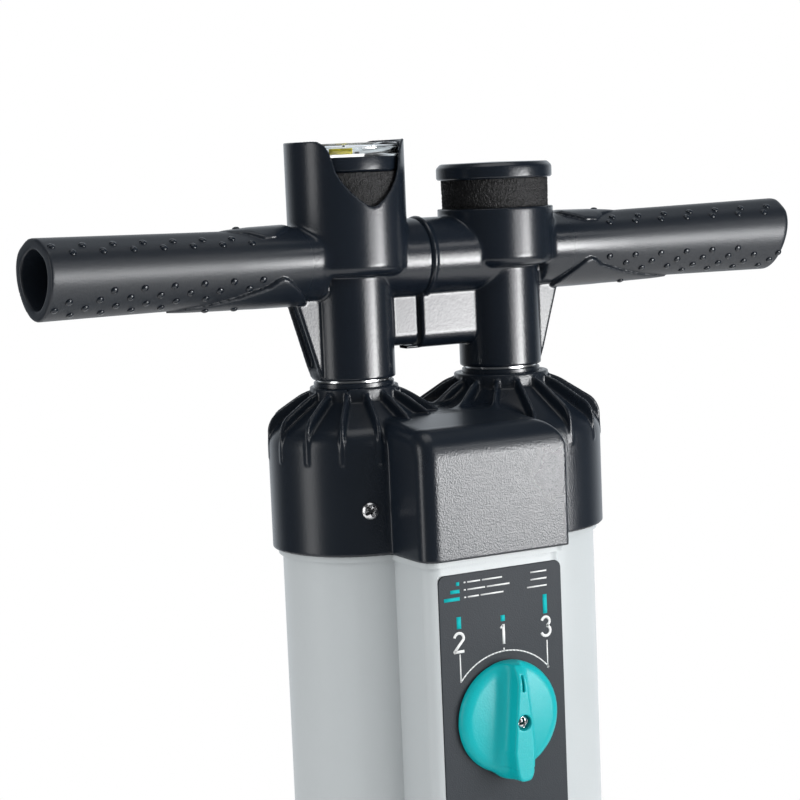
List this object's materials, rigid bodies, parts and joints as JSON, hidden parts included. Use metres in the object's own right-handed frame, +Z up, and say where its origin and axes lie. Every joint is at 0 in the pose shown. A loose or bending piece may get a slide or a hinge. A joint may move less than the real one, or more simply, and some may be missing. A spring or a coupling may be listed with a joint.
{
  "type": "double action hand pump",
  "caption": "Standing hand pump: a T-handle drives rods in paired cylinders of unequal bore; knob selects the pressure stage, gauge and filter cups sit on top.",
  "frame": {"origin": "on the floor, midway between the axes of the two cylinders", "axes": "+Z up along the cylinders; +X along the handle from the small cylinder to the large one; -Y towards the selector knob"},
  "size_m": [0.4186, 0.1522, 0.5914],
  "materials": {
    "body_plastic": "satin",
    "black_plastic": "satin",
    "handle_plastic": "satin",
    "knob_plastic": "semi-gloss",
    "label_plastic": "satin",
    "inner_plastic": "satin",
    "rubber": "matte",
    "foam": "open-cell foam, matte",
    "aluminium": "satin anodised",
    "steel": "zinc plated",
    "clear": "clear polycarbonate",
    "dial": "printed",
    "needle": "painted"
  },
  "bodies": {
    "pump_body": {"cylinder_body": "body_plastic", "head": "black_plastic", "head_gasket": "rubber", "rod_guide_left": "inner_plastic", "rod_guide_right": "inner_plastic", "rod_wiper_left": "rubber", "rod_wiper_right": "rubber", "head_screws": "steel", "valve_bush": "black_plastic", "label_plate": "label_plastic", "base": "black_plastic", "base_screws": "steel", "base_pad": "rubber", "hinge_pin_left": "steel", "hinge_pin_right": "steel", "outlet_port": "black_plastic", "outlet_seal": "rubber"},
    "handle": {"handle_left": "handle_plastic", "handle_right": "handle_plastic", "handle_screws": "steel", "rod_left": "aluminium", "rod_right": "aluminium", "rod_screws": "steel", "piston_left": "inner_plastic", "piston_right": "inner_plastic", "piston_seal_left": "rubber", "piston_seal_right": "rubber", "filter_left": "foam", "filter_right": "foam", "gauge_body": "black_plastic", "gauge_seal": "rubber", "gauge_dial": "dial", "gauge_lens": "clear", "gauge_pivot": "steel"},
    "selector": {"valve_rotor": "inner_plastic", "rotor_seals": "rubber", "selector_knob": "knob_plastic", "knob_screw": "steel"},
    "filter_cap": {"filter_cap": "black_plastic"},
    "gauge_needle": {"gauge_needle": "needle"},
    "foot_left": {"foot_left": "black_plastic", "foot_pad_left": "rubber"},
    "foot_right": {"foot_right": "black_plastic", "foot_pad_right": "rubber"},
    "outlet_valve": {"outlet_valve": "rubber"},
    "piston_valve_left": {"piston_valve_left": "rubber"},
    "piston_valve_right": {"piston_valve_right": "rubber"}
  },
  "joints": [
    {"name": "handle_stroke", "type": "slide", "parent": "pump_body", "child": "handle", "axis": [0, 0, 1], "range_m": [0, 0.378]},
    {"name": "selector_turn", "type": "hinge", "parent": "pump_body", "child": "selector", "pos_m": [-0.0042, -0.08, 0.316], "axis": [0, -1, 0], "range_deg": [-50, 50]},
    {"name": "filter_cap_lift", "type": "slide", "parent": "handle", "child": "filter_cap", "axis": [0, 0, 1], "range_m": [0, 0.03]},
    {"name": "needle_turn", "type": "hinge", "parent": "handle", "child": "gauge_needle", "pos_m": [-0.042, 0, 0.585], "axis": [0, 0, -1], "range_deg": [0, 250], "stiffness_Nm_per_rad": 0.0005},
    {"name": "foot_left_fold", "type": "hinge", "parent": "pump_body", "child": "foot_left", "pos_m": [-0.098, 0, 0.014], "axis": [0, 1, 0], "range_deg": [0, 88]},
    {"name": "foot_right_fold", "type": "hinge", "parent": "pump_body", "child": "foot_right", "pos_m": [0.106, 0, 0.014], "axis": [0, -1, 0], "range_deg": [0, 88]},
    {"name": "outlet_valve_open", "type": "slide", "parent": "pump_body", "child": "outlet_valve", "axis": [0, -1, 0], "range_m": [0, 0.0025], "stiffness_N_per_m": 60},
    {"name": "piston_valve_left_open", "type": "slide", "parent": "handle", "child": "piston_valve_left", "axis": [0, 0, -1], "range_m": [0, 0.0015], "stiffness_N_per_m": 60},
    {"name": "piston_valve_right_open", "type": "slide", "parent": "handle", "child": "piston_valve_right", "axis": [0, 0, -1], "range_m": [0, 0.0015], "stiffness_N_per_m": 60}
  ]
}
